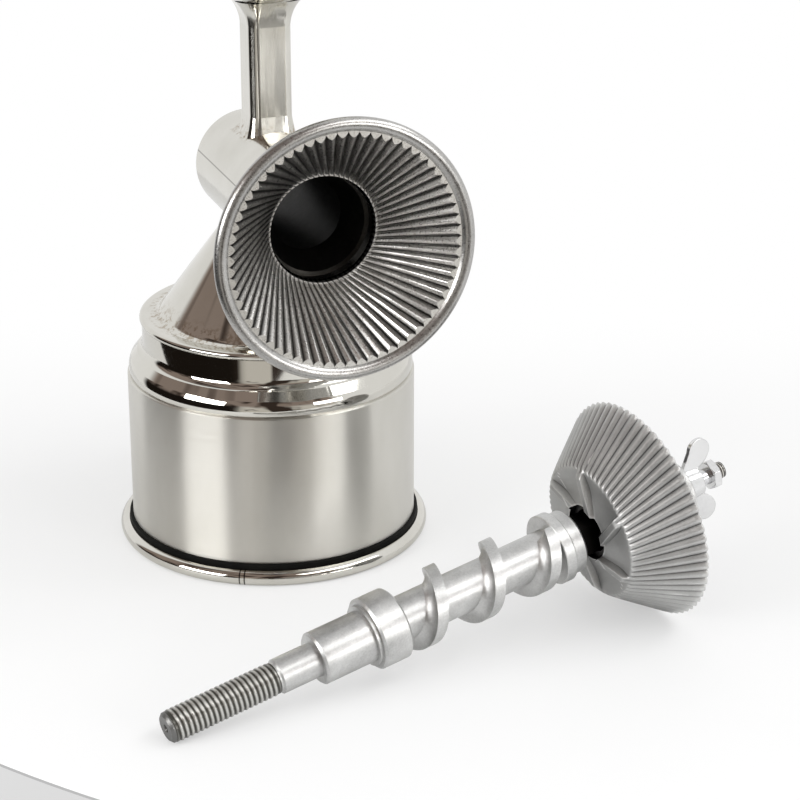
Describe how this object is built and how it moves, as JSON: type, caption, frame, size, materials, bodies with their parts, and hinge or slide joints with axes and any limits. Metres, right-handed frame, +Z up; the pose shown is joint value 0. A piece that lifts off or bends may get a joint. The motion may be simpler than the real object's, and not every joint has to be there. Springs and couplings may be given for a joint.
{
  "type": "hand crank grain mill",
  "caption": "Hand crank grain mill on a suction base, with its feed screw, cone burr and crank taken out.",
  "frame": {"origin": "centre of the base on the table", "axes": "+Z up, -Y forward along the barrel to the burr's mouth"},
  "size_m": [0.2252, 0.3664, 0.2622],
  "materials": {
    "chrome": "mirror polished chrome plate",
    "cast_alloy": "satin casting",
    "steel": "bright zinc plate",
    "brass": "turned",
    "rubber": "matt",
    "black_plastic": "matt"
  },
  "bodies": {
    "mill": {"base_shell": "chrome", "top_plate": "chrome", "base_ring": "chrome", "suction_pad": "rubber", "carrier_plate": "steel", "guide_bush": "brass", "shaft_bracket": "steel", "bracket_screws": "steel", "shaft_bush": "brass", "return_spring": "steel", "pedestal": "chrome", "barrel": "chrome", "rear_bush": "brass", "feed_sleeve": "cast_alloy", "hopper_neck": "chrome", "hopper_bowl": "chrome", "outer_burr": "cast_alloy"},
    "lever": {"lever": "steel", "lever_shaft": "steel", "cam": "steel", "lever_grip": "rubber", "lever_nut": "steel"},
    "pull_rod": {"pull_rod": "steel", "pad_plate": "steel"},
    "auger": {"auger": "cast_alloy", "burr_stud": "steel", "stop_nut": "steel"},
    "inner_burr": {"inner_burr": "cast_alloy"},
    "wing_nut": {"wing_nut": "chrome"},
    "crank": {"crank_arm": "chrome", "knob_spindle": "steel"},
    "knob": {"crank_knob": "black_plastic"}
  },
  "joints": [
    {"name": "lever_turn", "type": "hinge", "parent": "mill", "child": "lever", "pos_m": [0, 0.055, 0.038], "axis": [0, -1, 0], "range_deg": [0, 90]},
    {"name": "pull_rod_lift", "type": "slide", "parent": "mill", "child": "pull_rod", "axis": [0, 0, 1], "range_m": [0, 0.00401], "deforming": ["return_spring"]},
    {"name": "auger_turn", "type": "hinge", "parent": "mill", "child": "auger", "pos_m": [-0.0858, -0.1553, 0.00531], "axis": [0.9648, 0.1903, 0.1813], "continuous": true},
    {"name": "burr_slide", "type": "slide", "parent": "auger", "child": "inner_burr", "axis": [0.9648, 0.1903, 0.1813], "range_m": [-0.002, 0.002]},
    {"name": "wing_nut_turn", "type": "hinge", "parent": "inner_burr", "child": "wing_nut", "pos_m": [0.11826, -0.11504, 0.04366], "axis": [0.9648, 0.1903, 0.1813], "range_deg": [-721, 721]},
    {"name": "crank_lift", "type": "slide", "parent": "mill", "child": "crank", "axis": [0, 0, 1], "range_m": [0, 0.08]},
    {"name": "knob_turn", "type": "hinge", "parent": "crank", "child": "knob", "pos_m": [0.02306, 0.09451, 0], "axis": [0, 0, 1], "continuous": true}
  ],
  "couplings": [
    {"joint": "pull_rod_lift", "follows": "lever_turn", "m_per_rad": 0.0025465},
    {"joint": "wing_nut_turn", "follows": "burr_slide", "rad_per_m": 6283.2}
  ]
}
